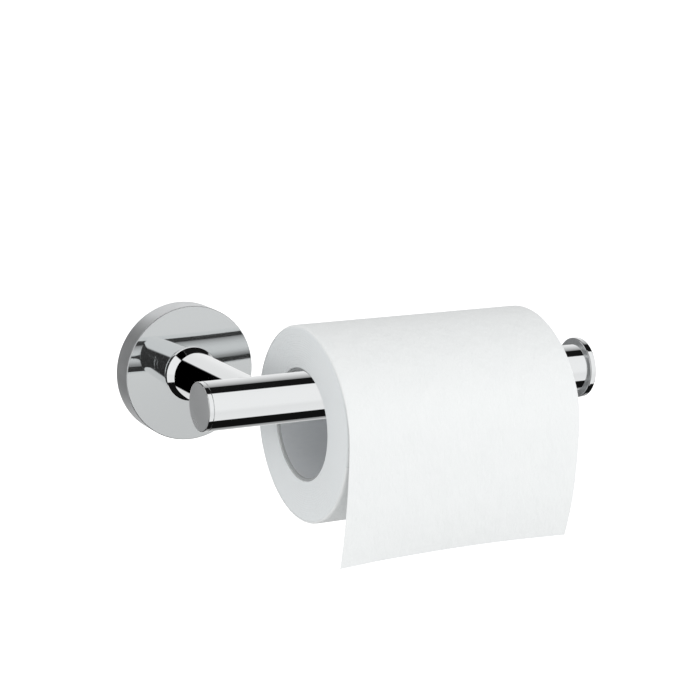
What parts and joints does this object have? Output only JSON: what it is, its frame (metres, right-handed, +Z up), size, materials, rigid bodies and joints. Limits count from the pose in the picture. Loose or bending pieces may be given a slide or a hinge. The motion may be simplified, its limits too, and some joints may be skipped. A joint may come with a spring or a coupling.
{
  "type": "toilet paper holder",
  "caption": "Wall-mounted chrome toilet paper holder: a round rosette and post carry a horizontal bar with an end stop, and a paper roll with a hanging sheet turns on it.",
  "frame": {"origin": "centre of the rosette's back on the wall, which is also the centre of the bracket's screw slots", "axes": "+Z up, +X along the bar towards its end stop, +Y into the wall, so the holder stands out towards -Y"},
  "size_m": [0.1762, 0.1024, 0.0859],
  "materials": {
    "chrome": "polished",
    "cast_zinc": "satin",
    "steel": "satin",
    "brass": "satin",
    "black_rubber": "matte",
    "tissue": "matte",
    "core_board": "matte"
  },
  "bodies": {
    "holder": {"wall_bracket": "cast_zinc", "rosette": "chrome", "rosette_grub_screw": "steel", "post": "chrome", "post_collar": "chrome", "post_dowel": "steel", "tie_screw": "steel", "clamp_washer": "steel", "spring_washer": "steel", "saddle_pin": "steel", "bar_tube": "chrome", "bar_anchor": "brass", "end_cap": "chrome", "end_cap_o_ring": "black_rubber", "stop_disc": "chrome", "stop_plug": "brass"},
    "sheet": {"hanging_sheet": "tissue"},
    "roll": {"roll_core": "core_board", "paper_winding": "tissue"}
  },
  "joints": [
    {"name": "roll_shift", "type": "slide", "parent": "holder", "child": "sheet", "axis": [1, 0, 0], "range_m": [-0.0125, 0.0235]},
    {"name": "roll_spin", "type": "hinge", "parent": "sheet", "child": "roll", "pos_m": [0.0725, -0.064, -0.01105], "axis": [1, 0, 0], "continuous": true}
  ]
}
